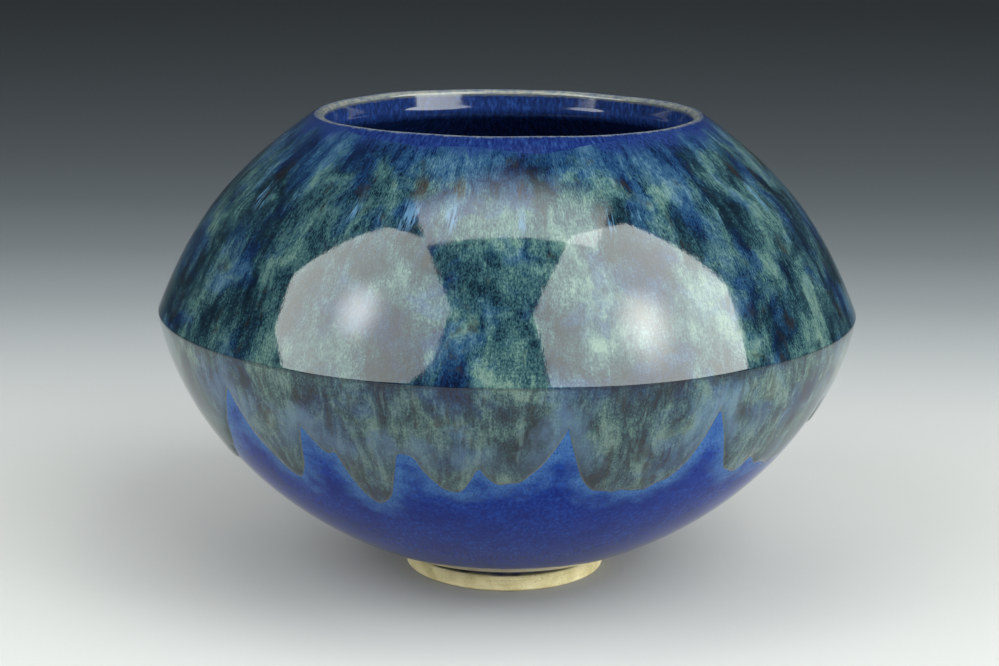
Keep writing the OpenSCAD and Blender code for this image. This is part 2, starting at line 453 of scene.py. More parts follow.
under = [Vector((GROOVE_RADIUS * i / UNDER_ROWS, FOOT_HEIGHT)) for i in range(UNDER_ROWS + 1)]
floor_top = []
for i in range(FLOOR_ROWS + 1):
    t = FLOOR_END * i / FLOOR_ROWS
    floor_top.append(on_curve(hollow_belly, t) + GLAZE * side_of_curve(hollow_belly, t))
floor_outline = under + [Vector((GROOVE_RADIUS, wall_start.y))] + floor_top[::-1]
floor_disc = turn_piece("turned_floor_disc", floor_outline, 144, on_axis=True)
spots, stations, turn = read_piece(floor_disc)
radius = np.hypot(spots[:, 0], spots[:, 1])
groove = 0.5 - 0.5 * np.cos(2 * np.pi * (radius / SPIRAL_STEP + turn / 360))
spiral_end = foot_in - 0.001
hollowed = (stations <= UNDER_ROWS) & (radius < spiral_end)
fade = np.clip((spiral_end - radius) / SPIRAL_FADE, 0, 1)
height = spots[:, 2] + SPIRAL_DEPTH * groove * fade * hollowed
place_vertices(floor_disc, turn, radius, height)
finish_piece(floor_disc, 40, "floor_disc")

# %% [markdown]
# ## Lip
#
# The lip is where the pot is most handled. It is thickened and rounded, and its inner face
# stands nearly upright. The glaze runs off this edge and leaves the pale clay showing
# through. The lip is a ring of its own, turned from the section between the two coats.

# %% Lip
LIP_START = 0.93
HOLLOW_LIP = 0.97
CORNER_START = 0.1
BLUE_EDGE = 70
FACE_EDGE = 180 - FACE_LEAN


def lip_side(count):
    """The outer line of the lip, up to the place where its crest starts."""
    return [on_curve(shoulder, LIP_START + (1 - LIP_START) * i / count) for i in range(count + 1)]


def corner_side(gap, count):
    """The line of the lip's inner corner, with gap of glaze taken out of it."""
    ts = [CORNER_START + (1 - CORNER_START) * i / count for i in range(count + 1)]
    return [on_curve(hollow_corner, t) + gap * side_of_curve(hollow_corner, t) for t in ts]


lip_outline = (
    lip_side(8)
    + arc(crest, CREST_RADIUS, MOUTH_LEAN + 5, FACE_EDGE, 22)
    + corner_side(GLAZE, 14)[::-1]
    + [on_curve(hollow_shoulder, HOLLOW_LIP) + GLAZE * side_of_curve(hollow_shoulder, HOLLOW_LIP)]
)
lip = turn_piece("turned_lip", lip_outline, 288)
spots, stations, turn = read_piece(lip)
radius = np.hypot(spots[:, 0], spots[:, 1])
crest_turn = np.degrees(np.arctan2(spots[:, 2] - crest.y, radius - crest.x))
keep_measure(lip, "crest_turn", crest_turn)
place_vertices(lip, turn, radius, spots[:, 2] + lip_wave(turn, spots[:, 2]))
finish_piece(lip, 60, "lip")

# %% [markdown]
# ## Liner
#
# Glaze is poured into the raw pot, rolled round and poured out again, so the inside wears
# one even coat. Under it the potter's fingers left one long spiral of rings on the way up.
# The section is turned first, and the spiral is then raised on the side that shows.

# %% Liner
RING_STEP = 0.0064
RING_HEIGHT = 0.00022
RING_FADE = 0.02
PLAIN_UNDER_LIP = 0.016


def hollow_line(gap, floor_count, belly_count, top_count, corner_count):
    """The whole inner line of the pot, from the middle of its floor to the lip."""
    places = [(hollow_belly, FLOOR_END * i / floor_count) for i in range(floor_count)]
    for i in range(belly_count):
        places.append((hollow_belly, FLOOR_END + (1 - FLOOR_END) * i / belly_count))
    places += [(hollow_shoulder, HOLLOW_LIP * i / top_count) for i in range(top_count + 1)]
    wall = [on_curve(line, t) + gap * side_of_curve(line, t) for line, t in places]
    return wall + corner_side(gap, corner_count)


liner_shown = hollow_line(0, 12, 56, 44, 12)
liner_edge = arc(crest, CREST_RADIUS, FACE_EDGE, FACE_EDGE, 1)[0]
liner_shown += [corner_top.lerp(liner_edge, i / 10) for i in range(1, 11)]
liner_back = hollow_line(GLAZE, 4, 14, 12, 6)
liner_outline = liner_shown + liner_back[::-1]
liner = turn_piece("turned_liner", liner_outline, 240, on_axis=True)
spots, stations, turn = read_piece(liner)
radius = np.hypot(spots[:, 0], spots[:, 1])
shown_steps = np.linalg.norm(np.diff(np.array(liner_shown), axis=0), axis=1)
shown_way = np.concatenate([[0], np.cumsum(shown_steps)])
LINER_END = float(shown_way[-1])
way = np.interp(stations, np.arange(len(liner_shown)), shown_way)
ring = np.sin(2 * np.pi * (way / RING_STEP + turn / 360))
fade_up = np.clip((LINER_END - PLAIN_UNDER_LIP - way) / RING_FADE, 0, 1)
fade = np.clip(way / RING_FADE, 0, 1) * fade_up
raised = RING_HEIGHT * (0.5 + 0.5 * ring) * fade * (stations < len(liner_shown))
outward = np.column_stack([radius, spots[:, 2] - RIDGE.y])
outward /= np.linalg.norm(outward, axis=1)[:, None] + 1e-9
radius = radius - raised * outward[:, 0]
height = spots[:, 2] - raised * outward[:, 1]
keep_measure(liner, "way", np.where(stations < len(liner_shown), way, LINER_END))
place_vertices(liner, turn, radius, height + lip_wave(turn, height))
finish_piece(liner, 50, "liner_glaze")

# %% [markdown]
# ## Blue coat
#
# The whole outside is dipped in a cobalt glaze first. It stops over the foot in a rolled
# bead, where the melt gathered, and it thins away to nothing at the crest of the lip. The
# section follows the ruler with a gap of half a millimetre. The bead is then swollen and
# lifted a little here and there.

# %% Blue coat
BEAD_RADIUS = 0.0007
BEAD_END = 0.0022
BEAD_SWELL = 0.00009

bead_centre = wall_start + BEAD_RADIUS * Vector((0.3, -0.2))
bead = arc(bead_centre, BEAD_RADIUS, -175, -62, 9)
blue_rises = np.concatenate(
    [
        np.linspace(FOOT_END + BEAD_END, -0.004, 60),
        np.linspace(-0.003, -0.0004, 4),
        corner_way,
        np.linspace(0.0004, 0.056, 26),
        np.linspace(0.0565, LIP_END - 0.0002, 16),
    ]
)
blue_radius, blue_height = on_wall(blue_rises, GLAZE)
blue_shown = [Vector((r, z)) for r, z in zip(blue_radius, blue_height)]
blue_tip = arc(crest, CREST_RADIUS + 0.00018, MOUTH_LEAN + 4, BLUE_EDGE - 4, 2)
blue_tip += arc(crest, CREST_RADIUS, BLUE_EDGE, BLUE_EDGE, 1)[:1]
back_rises = np.linspace(LIP_END, FOOT_END, 40)
back_radius, back_height = on_wall(back_rises, 0)
blue_back = [Vector((r, z)) for r, z in zip(back_radius, back_height)]
blue_outline = bead + blue_shown + blue_tip + blue_back
blue_coat = turn_piece("turned_blue_coat", blue_outline, 360)
spots, stations, turn = read_piece(blue_coat)
radius = np.hypot(spots[:, 0], spots[:, 1])
bead_rises = np.full(len(bead), FOOT_END)
tip_rises = np.full(len(blue_tip), LIP_END)
station_rise = np.concatenate([bead_rises, blue_rises, tip_rises, back_rises])
rise = station_rise[stations]
angle = np.radians(turn)
swell = np.sin(4 * angle + 0.7) + 0.6 * np.sin(9 * angle + 2) + 0.4 * np.sin(17 * angle)
in_bead = stations < len(bead) + 3
away = np.column_stack([radius - bead_centre.x, spots[:, 2] - bead_centre.y])
away /= np.linalg.norm(away, axis=1)[:, None] + 1e-9
swollen = BEAD_SWELL * swell * in_bead
radius = radius + swollen * away[:, 0]
height = spots[:, 2] + swollen * away[:, 1]
keep_measure(blue_coat, "rise", rise)
keep_measure(blue_coat, "off_edge", off_edge(turn, rise))
place_vertices(blue_coat, turn, radius, height + lip_wave(turn, height))
finish_piece(blue_coat, 60, "blue_glaze")

# %% [markdown]
# ## Running coat
#
# The second coat covers the shoulder and hangs over the ridge. It is turned as an even shell
# first. Then every vertex on the belly slides down its own wall until the last row lies on
# the edge of the tongues, and the coat is thickened: thin under the lip, full at the
# ridge, and fattest in the round roll at the tip of each tongue.

# %% Running coat
RUN_TOP = 0.0642
BEDDED = 0.00045
ROLL_WIDTH = 0.0008
ROLL_REACH = 0.007
ROLL_EXTRA = 0.00022
ROLL_LENGTH = 0.006
ROLL_BELOW = 0.056
ROLL_FULL = 0.04
THIN_AT_LIP = 0.2
THIN_SPAN = 0.055
TOP_FADE = 0.004
BELLY_ROWS = 18
near_edge = np.array([0, 0.06, 0.15, 0.27, 0.42, 0.6, 0.85, 1.15, 1.6, 2.2, 3.0]) / 1000

run_rises = np.concatenate(
    [
        np.zeros(len(near_edge) + BELLY_ROWS),
        corner_way,
        np.linspace(0.0004, 0.05, 22),
        np.linspace(0.0515, RUN_TOP, 10),
    ]
)
shown_rows = len(run_rises)
hidden_rows = list(range(shown_rows - 3, 1, -4))


def row_rise(row, turn):
    """How far up the wall a row of the running coat lies in each direction."""
    edge = rise_at_height(edge_height(turn))
    place = run_rises[row]
    low = row < len(near_edge)
    place = np.where(low, edge + near_edge[np.minimum(row, len(near_edge) - 1)], place)
    middle = (row >= len(near_edge)) & (row < len(near_edge) + BELLY_ROWS)
    share = (row - len(near_edge) + 1) / BELLY_ROWS
    start = edge + near_edge[-1]
    return np.where(middle, start + (-0.0004 - start) * np.clip(share, 0, 1), place)


rows = np.array(list(range(shown_rows)) + hidden_rows)
gaps = np.array([BEDDED + RUN] * shown_rows + [BEDDED] * len(hidden_rows))
first_turn = np.zeros(len(rows))
run_radius, run_height = on_wall(row_rise(rows, first_turn), gaps)
run_outline = [Vector((r, z)) for r, z in zip(run_radius, run_height)]
running_coat = turn_piece("turned_running_coat", run_outline, 600)
spots, stations, turn = read_piece(running_coat)
row = rows[stations]
rise = row_rise(row, turn)
off = off_edge(turn, rise)
tipness = np.clip((ROLL_BELOW - edge_height(turn)) / (ROLL_BELOW - ROLL_FULL), 0, 1)
rounded = 1 - np.exp(-off / ROLL_WIDTH)
roll = 0.6 * rounded + 0.4 * (1 - np.exp(-off / ROLL_REACH))
fat = ROLL_EXTRA * tipness * rounded * np.exp(-((off / ROLL_LENGTH) ** 2))
thinner = THIN_AT_LIP + (1 - THIN_AT_LIP) * np.clip((RUN_TOP - rise) / THIN_SPAN, 0, 1)
upper = np.clip((RUN_TOP - rise) / TOP_FADE, 0, 1)
upper = upper * upper * (3 - 2 * upper)
thick = ((RUN + 0.00005) * roll + fat) * thinner * upper
gap = np.where(stations < shown_rows, BEDDED + thick, BEDDED)
radius, height = on_wall(rise, gap)
keep_measure(running_coat, "rise", rise)
keep_measure(running_coat, "off_edge", off)
place_vertices(running_coat, turn, radius, height)
finish_piece(running_coat, 60, "running_glaze")

# %% [markdown]
# ## Tools for the finishes
#
# Every finish here is built from nodes. One short helper adds a node with its values and
# links, and the others make the kinds of node that the finishes repeat. Colours are written
# as they look on a screen, from 0 to 255. A glaze colour is also divided by the brightness
# of the studio light, so that it comes out as written.

# %% Node helpers
STUDIO_LIGHT = 2.6
MIX_SHARE, MIX_FIRST, MIX_SECOND, MIX_RESULT = 0, 6, 7, 2


def screen_colour(red, green, blue, light=1.0):
    """A colour as written on a screen, made linear and divided by the light on it."""
    linear = []
    for value in (red, green, blue):
        v = value / 255
        v = v / 12.92 if v <= 0.04045 else ((v + 0.055) / 1.055) ** 2.4
        linear.append(v / light)
    return (*linear, 1.0)


def glaze_colour(red, green, blue):
    """A glaze colour, as it looks in the studio light."""
    return screen_colour(red, green, blue, STUDIO_LIGHT)


def add_node(tree, kind, label, inputs=None, **settings):
    """Adds one node, sets its options, and fills or links its inputs."""
    made = tree.nodes.new(kind)
    made.label = label
    for key, value in settings.items():
        setattr(made, key, value)
    for key, value in (inputs or {}).items():
        if isinstance(value, bpy.types.NodeSocket):
            tree.links.new(value, made.inputs[key])
        else:
            made.inputs[key].default_value = value
    return made


def maths(tree, label, operation, first, second=0.0):
    """One sum on two values."""
    made = add_node(tree, "ShaderNodeMath", label, {0: first, 1: second}, operation=operation)
    return made.outputs[0]


def vector_maths(tree, label, operation, first, second=(0, 0, 0)):
    """One sum on two places."""
    inputs = {0: first, 1: second}
    made = add_node(tree, "ShaderNodeVectorMath", label, inputs, operation=operation)
    return made.outputs[0]


def scale_vector(tree, label, vector, scale):
    """A place multiplied by one number."""
    inputs = {0: vector, "Scale": scale}
    made = add_node(tree, "ShaderNodeVectorMath", label, inputs, operation="SCALE")
    return made.outputs[0]


def vector_length(tree, label, vector):
    """How far a place is from the origin."""
    made = add_node(tree, "ShaderNodeVectorMath", label, {0: vector}, operation="LENGTH")
    return made.outputs["Value"]


def split(tree, label, vector):
    """The three parts of a place."""
    return add_node(tree, "ShaderNodeSeparateXYZ", label, {0: vector}).outputs


def place_on_object(tree):
    """The place on the object, in metres."""
    return add_node(tree, "ShaderNodeTexCoord", "place on the object").outputs["Object"]


def read_measure(tree, name):
    """Reads a number that was written on the piece's vertices."""
    made = add_node(tree, "ShaderNodeAttribute", name, attribute_name=name)
    return made.outputs["Fac"]


def even_noise(tree, label, place, scale, detail):
    """Noise with the same size in every direction."""
    inputs = {"Vector": place, "Scale": scale, "Detail": detail}
    return add_node(tree, "ShaderNodeTexNoise", label, inputs).outputs["Fac"]


def mask_between(tree, label, value, low, high):
    """A mask that is 0 at low and 1 at high, and runs smoothly between them."""
    inputs = {"Value": value, "From Min": low, "From Max": high}
    smooth = {"interpolation_type": "SMOOTHSTEP"}
    return add_node(tree, "ShaderNodeMapRange", label, inputs, **smooth).outputs["Result"]


def zone(tree, label, value, start, full_from, full_to, end):
    """A mask that is 1 in the middle of a zone and fades out on both sides of it."""
    begins = mask_between(tree, label + " begins", value, start, full_from)
    ends = mask_between(tree, label + " ends", value, end, full_to)
    return maths(tree, label, "MULTIPLY", begins, ends)


def stir_in(tree, label, value, noise, strength):
    """Adds a noise to a value, as much upwards as downwards."""
    centred = maths(tree, label + " centred", "SUBTRACT", noise, 0.5)
    share = maths(tree, label + " share", "MULTIPLY", centred, strength)
    return maths(tree, label + " added", "ADD", value, share)


def tones(tree, label, value, stops):
    """Colours picked by a value from a ramp, whose stops are (place, colour)."""
    made = add_node(tree, "ShaderNodeValToRGB", label, {"Fac": value})
    elements = made.color_ramp.elements
    while len(elements) > 1:
        elements.remove(elements[-1])
    elements[0].position, elements[0].color = stops[0]
    for place_on_ramp, colour in stops[1:]:
        elements.new(place_on_ramp).color = colour
    return made.outputs["Color"]


def blend(tree, label, mask, first, second, strength=1.0):
    """Mixes a second colour into the first by a mask, at full strength or less."""
    if strength != 1.0:
        mask = maths(tree, label + ", softened", "MULTIPLY", mask, strength)
    inputs = {MIX_SHARE: mask, MIX_FIRST: first, MIX_SECOND: second}
    return add_node(tree, "ShaderNodeMix", label, inputs, data_type="RGBA").outputs[MIX_RESULT]


def set_bump(tree, shader, height, distance=1.0):
    """Bends the surface's normals by a height."""
    bump = add_node(tree, "ShaderNodeBump", "surface", {"Height": height, "Distance": distance})
    tree.links.new(bump.outputs["Normal"], shader.inputs["Normal"])


def add_number_sockets(group, inputs, outputs):
    """Gives a node group its inputs, with their usual values, and its outputs."""
    for name, usual in inputs:
        made = group.interface.new_socket(name, in_out="INPUT", socket_type="NodeSocketFloat")
        made.default_value = usual
    for name in outputs:
        group.interface.new_socket(name, in_out="OUTPUT", socket_type="NodeSocketFloat")


def new_material(name, base, roughness):
    """A material with one Principled shader, ready for its nodes."""
    material = bpy.data.materials.new(name)
    material.use_nodes = True
    shader = material.node_tree.nodes["Principled BSDF"]
    shader.inputs["Base Color"].default_value = base
    shader.inputs["Roughness"].default_value = roughness
    shader.inputs["IOR"].default_value = 1.5
    shader.inputs["Coat Weight"].default_value = 0.0
    return material, material.node_tree, shader


def wear(piece, material):
    """Puts one material on a piece."""
    piece.data.materials.clear()
    piece.data.materials.append(material)


print("light on the glaze", STUDIO_LIGHT)

# %% [markdown]
# ## A pattern that runs down the wall
#
# Melted glaze moves straight down the pot, so its streaks, patches and flecks are all
# longer down the wall than across it. This node group makes noise with a size across and a
# size down, both in metres. Across the pot it uses the direction round the axis, which has no
# seam, and down the pot it uses the height. Every glaze uses the group with its own sizes.

# %% Node group: running noise
PATTERN_RADIUS = 0.07
WANDER_SCALE = (90, 90, 60)

running_noise = bpy.data.node_groups.new("running_noise", "ShaderNodeTree")
running_inputs = [
    ("Across", 0.001),
    ("Down", 0.01),
    ("Detail", 3.0),
    ("Rough", 0.55),
    ("Wander", 0.0),
    ("Shift", 0.0),
]
add_number_sockets(running_noise, running_inputs, ["Value"])
tree = running_noise
group_in = tree.nodes.new("NodeGroupInput").outputs
group_out = tree.nodes.new("NodeGroupOutput").inputs
place = place_on_object(tree)
parts = split(tree, "place, split", place)
level = add_node(tree, "ShaderNodeCombineXYZ", "level part", {0: parts[0], 1: parts[1]})
round_way = vector_maths(tree, "direction", "NORMALIZE", level.outputs[0])
round_place = scale_vector(tree, "round the pot", round_way, PATTERN_RADIUS)
wander_place = vector_maths(tree, "wander place", "MULTIPLY", place, WANDER_SCALE)
wander_inputs = {"Vector": wander_place, "Scale": 1.0, "Detail": 2.0}
wander_noise = add_node(tree, "ShaderNodeTexNoise", "wander", wander_inputs).outputs["Color"]
wander_middle = vector_maths(tree, "wander centred", "SUBTRACT", wander_noise, (0.5, 0.5, 0.5))
wander_far = scale_vector(tree, "how far", wander_middle, group_in["Wander"])
moved = split(tree, "moved", vector_maths(tree, "wandered", "ADD", round_place, wander_far))
across_x = maths(tree, "x in features", "DIVIDE", moved[0], group_in["Across"])
across_y = maths(tree, "y in features", "DIVIDE", moved[1], group_in["Across"])
tall = maths(tree, "height", "ADD", parts[2], moved[2])
down = maths(tree, "height in features", "DIVIDE", tall, group_in["Down"])
shifted = maths(tree, "shifted", "ADD", down, group_in["Shift"])
feature_parts = {0: across_x, 1: across_y, 2: shifted}
feature = add_node(tree, "ShaderNodeCombineXYZ", "feature space", feature_parts)
noise_inputs = {
    "Vector": feature.outputs[0],
    "Scale": 1.0,
    "Detail": group_in["Detail"],
    "Roughness": group_in["Rough"],
}
noise = add_node(tree, "ShaderNodeTexNoise", "running noise", noise_inputs)
tree.links.new(noise.outputs["Fac"], group_out["Value"])


def running(tree, label, across, down, detail=3.0, wander=0.0, shift=0.0, rough=0.55):
    """Places the running noise in a material."""
    made = add_node(tree, "ShaderNodeGroup", label, node_tree=running_noise)
    made.inputs["Across"].default_value = across
    made.inputs["Down"].default_value = down
    made.inputs["Detail"].default_value = detail
    made.inputs["Rough"].default_value = rough
    made.inputs["Wander"].default_value = wander
    made.inputs["Shift"].default_value = shift
    return made.outputs["Value"]


print("running noise has", len(running_noise.nodes), "nodes")

# %% [markdown]
# ## Glossy skin
#
# A fired glaze is glass with a slightly uneven surface. Broad soft ripples bend the
# reflections a little, and fine pits break them up. This group turns both into one height
# for a bump node, and it also gives a roughness that varies over the surface.

# %% Node group: glaze skin
RIPPLE_SCALE = 85.0
PIT_SCALE = 1500.0
CLOUD_SCALE = 260.0

glaze_skin = bpy.data.node_groups.new("glaze_skin", "ShaderNodeTree")
skin_inputs = [
    ("Ripple", 0.00004),
    ("Pits", 0.000006),
    ("Base Roughness", 0.08),
    ("Dull", 0.1),
]
add_number_sockets(glaze_skin, skin_inputs, ["Height", "Roughness"])
tree = glaze_skin
group_in = tree.nodes.new("NodeGroupInput").outputs
group_out = tree.nodes.new("NodeGroupOutput").inputs
place = place_on_object(tree)
ripple_noise = even_noise(tree, "ripples", place, RIPPLE_SCALE, 1.0)
pit_noise = even_noise(tree, "pits", place, PIT_SCALE, 2.0)
ripple_up = maths(tree, "ripple height", "MULTIPLY", ripple_noise, group_in["Ripple"])
pits_up = maths(tree, "pit depth", "MULTIPLY", pit_noise, group_in["Pits"])
skin_up = maths(tree, "surface height", "ADD", ripple_up, pits_up)
cloud = even_noise(tree, "dull clouds", place, CLOUD_SCALE, 4.0)
dull = mask_between(tree, "dull places", cloud, 0.42, 0.75)
rough_more = maths(tree, "duller", "MULTIPLY", dull, group_in["Dull"])
rough_all = maths(tree, "roughness", "ADD", rough_more, group_in["Base Roughness"])
tree.links.new(skin_up, group_out["Height"])
tree.links.new(rough_all, group_out["Roughness"])


def gloss(tree, shader, ripple, pits, roughness, dull, extra_height=None):
    """Gives a glaze its skin: bump from the ripples and pits, and uneven gloss."""
    skin = add_node(tree, "ShaderNodeGroup", "glaze skin", node_tree=glaze_skin)
    skin.inputs["Ripple"].default_value = ripple
    skin.inputs["Pits"].default_value = pits
    skin.inputs["Base Roughness"].default_value = roughness
    skin.inputs["Dull"].default_value = dull
    height = skin.outputs["Height"]
    if extra_height is not None:
        height = maths(tree, "height with streaks", "ADD", height, extra_height)
    set_bump(tree, shader, height)
    tree.links.new(skin.outputs["Roughness"], shader.inputs["Roughness"])


print("glaze skin ready")

# %% [markdown]
# ## Bare clay
#
# The stoneware of the foot is a warm cream with fine dark specks of iron. It is matt, with a
# grain left by the sponge. Level tool lines run round it, so the finest noise is stretched
# round the pot. In the groove over the foot a dark blue painted shade stands for the shadow
# there.

# %% Material: bare clay
CLAY_LIGHT = 0.84
GROOVE_SHADE_START = GROOVE_RADIUS - 0.0019
GROOVE_SHADE_FULL = GROOVE_RADIUS - 0.0006
GROOVE_SHADE_RISE = 0.0004


def clay_colour(red, green, blue):
    """A clay colour, as it looks in the weaker light down at the foot."""
    return screen_colour(red, green, blue, CLAY_LIGHT)


bare_clay, tree, shader = new_material("bare_clay", screen_colour(214, 203, 174), 0.75)
place = place_on_object(tree)
cloud = even_noise(tree, "tone", place, 190.0, 5.0)
cream_stops = [
    (0.3, clay_colour(198, 182, 132)),
    (0.5, clay_colour(220, 206, 160)),
    (0.7, clay_colour(232, 220, 182)),
]
cream = tones(tree, "cream tones", cloud, cream_stops)
lines = running(tree, "tool lines", 0.02, 0.00022, detail=2.0)
line_mask = mask_between(tree, "cut lines", lines, 0.52, 0.72)
lined = blend(tree, "lines in the clay", line_mask, cream, clay_colour(178, 162, 120), 0.35)
specks = even_noise(tree, "iron specks", place, 2100.0, 1.0)
speck_mask = mask_between(tree, "speck", specks, 0.68, 0.76)
specked = blend(tree, "specks in the clay", speck_mask, lined, clay_colour(120, 100, 70))
# Painted shade: a dark blue band in the groove over the foot, where the clay lies in shadow under
# the bead.
up = split(tree, "height", place)[2]
uneven = maths(tree, "uneven edge", "MULTIPLY", cloud, 0.0005)
groove_shade_height = maths(tree, "height of the painted groove shade", "ADD", up, uneven)
groove = mask_between(tree, "in the groove", groove_shade_height, FOOT_HEIGHT, FOOT_HEIGHT + GROOVE_SHADE_RISE)
flat_place = vector_maths(tree, "flat place", "MULTIPLY", place, (1, 1, 0))
out = vector_length(tree, "from the axis", flat_place)
at_side = mask_between(tree, "at the side", out, GROOVE_SHADE_START, GROOVE_SHADE_FULL)
painted_groove_shade = maths(tree, "painted_groove_shade", "MULTIPLY", groove, at_side)
groove_shade_painted = blend(tree, "painted shade in the groove", painted_groove_shade, specked, glaze_colour(12, 18, 44))
tree.links.new(groove_shade_painted, shader.inputs["Base Color"])
grain = even_noise(tree, "grain", place, 2600.0, 3.0)
grain_up = maths(tree, "grain height", "MULTIPLY", grain, 0.00004)
line_up = maths(tree, "line height", "MULTIPLY", lines, 0.00008)
set_bump(tree, shader, maths(tree, "clay surface", "ADD", grain_up, line_up))
wear(foot_ring, bare_clay)
wear(floor_disc, bare_clay)
print("bare clay on", foot_ring.name, "and", floor_disc.name)

# %% [markdown]
# ## Clay under the glaze
#
# The two walls of the pot are covered on both sides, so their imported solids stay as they
# are. They get the same stoneware in its fired tone, should a coat ever be lifted off.

# %% Material: body clay
body_clay, tree, shader = new_material("body_clay", screen_colour(205, 192, 160), 0.8)
cloud = even_noise(tree, "tone", place_on_object(tree), 150.0, 6.0)
fired_stops = [(0.3, glaze_colour(180, 165, 130)), (0.7, glaze_colour(220, 210, 182))]
fired = tones(tree, "fired tones", cloud, fired_stops)
tree.links.new(fired, shader.inputs["Base Color"])
set_bump(tree, shader, cloud, distance=0.0001)
for name in ("belly_wall", "shoulder_wall"):
    wear(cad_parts[name], body_clay)
print("body clay on the two walls")

# %% [markdown]
# ## Blue glaze
#
# Cobalt gives a strong blue that is never flat: it pools darker in small dimples and
# breaks lighter between them. Just outside the running coat it turns milky, because the two
# melts mixed there. Near the lip the light falls straight on it, so above the ridge the blue
# is a painted shade, darker to hold back that light. At the crest it lets the clay show.
# Below the ridge the coat is thick and soft, and mirrors less of the table, so those faces
# wear a copy with a weaker reflection.

# %% Material: blue glaze
SOFT_MIRROR = 0.1

blue_glaze, tree, shader = new_material("blue_glaze", glaze_colour(22, 58, 160), 0.1)
rise = read_measure(tree, "rise")
off = read_measure(tree, "off_edge")
fine = running(tree, "mottle", 0.0008, 0.0008, detail=4.0, rough=0.7)
cobalt_stops = [
    (0.3, glaze_colour(4, 42, 146)),
    (0.45, glaze_colour(8, 58, 174)),
    (0.57, glaze_colour(18, 78, 200)),
    (0.72, glaze_colour(50, 114, 226)),
]
cobalt = tones(tree, "blue tones", fine, cobalt_stops)
broad = running(tree, "broad drift", 0.010, 0.006, detail=4.0)
drift = mask_between(tree, "deeper places", broad, 0.42, 0.66)
drifted = blend(tree, "drift", drift, cobalt, glaze_colour(8, 42, 152), 0.6)
outside = maths(tree, "below the edge", "MULTIPLY", off, -1.0)
halo_noise = running(tree, "halo width", 0.005, 0.004)
halo_width = maths(tree, "uneven width", "MULTIPLY", halo_noise, 0.0115)
halo_reach = maths(tree, "inside the halo", "SUBTRACT", halo_width, outside)
halo = mask_between(tree, "halo", halo_reach, -0.0012, 0.0075)
dusty = running(tree, "milky dust", 0.0004, 0.0006, detail=2.0, rough=0.7)
halo_dust = mask_between(tree, "dusted", dusty, 0.2, 0.56)
halo_all = maths(tree, "dusted halo", "MULTIPLY", halo, halo_dust)
haloed = blend(tree, "halo on the blue", halo_all, drifted, glaze_colour(104, 166, 236), 0.85)
print("blue glaze: cobalt and its milky edge ready")

# %% Blue glaze: neck, crest and the part below the ridge
# Painted shade: above the ridge the blue is darker and greyer, to hold back the light that falls
# straight on it near the lip.
neck = mask_between(tree, "above the ridge", rise, -0.002, 0.002)
neck_fine = running(tree, "neck mottle", 0.0009, 0.0013, detail=4.0, rough=0.7)
neck_painted_shade_stops = [
    (0.32, glaze_colour(16, 32, 96)),
    (0.48, glaze_colour(28, 50, 118)),
    (0.60, glaze_colour(42, 70, 140)),
    (0.72, glaze_colour(66, 100, 162)),
]
necked = blend(tree, "neck", neck, haloed, tones(tree, "neck tones, painted darker", neck_fine, neck_painted_shade_stops))
break_noise = running(tree, "break noise", 0.0016, 0.0011)
break_shift = maths(tree, "uneven break", "MULTIPLY", break_noise, 0.0016)
break_rise = maths(tree, "break line", "ADD", rise, break_shift)
broken = mask_between(tree, "clay shows", break_rise, LIP_END + 0.0001, LIP_END + 0.0011)
crested = blend(tree, "crest", broken, necked, glaze_colour(140, 150, 166))
tree.links.new(crested, shader.inputs["Base Color"])
gloss(tree, shader, ripple=0.00004, pits=0.000004, roughness=0.04, dull=0.07)
wear(blue_coat, blue_glaze)
deep_blue = blue_glaze.copy()
deep_blue.name = "blue_glaze_below"
deep_shader = deep_blue.node_tree.nodes["Principled BSDF"]
deep_shader.inputs["Specular IOR Level"].default_value = SOFT_MIRROR
blue_coat.data.materials.append(deep_blue)
for face in blue_coat.data.polygons:
    face.material_index = int(face.center.z < RIDGE.y)
print("blue glaze on", blue_coat.name)

# %% [markdown]
# ## Running glaze: clouds, grain and hair
#
# The second glaze is the showpiece. Two ramps hold its colours in the order in which the
# melt separates, from dark to pale: one through greens and one through blues. A single value
# picks the colour, and that value is the sum of broad clouds, streaks drawn down the wall
# and a fine grain. Because all of them move the same value, neighbouring grains always have
# related colours, as in the real melt.

# %% Running glaze: one value from broad to fine
MIDDLE_TONE = 0.52
STREAK_SHARE = 0.34
HAIR_SHARE = 0.22
GRAIN_SHARE = 0.66
SKIRT_SHARE = 0.28
TOP_BLUE_SHARE = 0.22

running_glaze, tree, shader = new_material("running_glaze", glaze_colour(50, 80, 92), 0.1)
rise = read_measure(tree, "rise")
off = read_measure(tree, "off_edge")
skirt = mask_between(tree, "below the ridge", rise, 0.002, -0.004)
cloud = running(tree, "clouds", 0.0105, 0.0125, wander=0.016, shift=5.0)
streak = running(tree, "wide streaks", 0.0021, 0.0125, wander=0.006, shift=11.0, rough=0.6)
hair = running(tree, "hair streaks", 0.00042, 0.0028, wander=0.001, shift=3.0, rough=0.6)
grain = running(tree, "grain", 0.00034, 0.0006, shift=17.0, rough=0.7)
value = maths(tree, "clouds centred", "SUBTRACT", cloud, 0.5)
value = stir_in(tree, "streak", value, streak, STREAK_SHARE)
value = stir_in(tree, "hair", value, hair, HAIR_SHARE)
value = stir_in(tree, "grain", value, grain, GRAIN_SHARE)
skirt_streak = maths(tree, "streak in the skirt", "SUBTRACT", streak, 0.2)
skirt_part = maths(tree, "skirt part", "MULTIPLY", skirt_streak, SKIRT_SHARE)
skirt_lift = maths(tree, "skirt is paler and more streaked", "MULTIPLY", skirt, skirt_part)
lifted = maths(tree, "lifted", "ADD", value, skirt_lift)
value = maths(tree, "value", "ADD", lifted, MIDDLE_TONE)
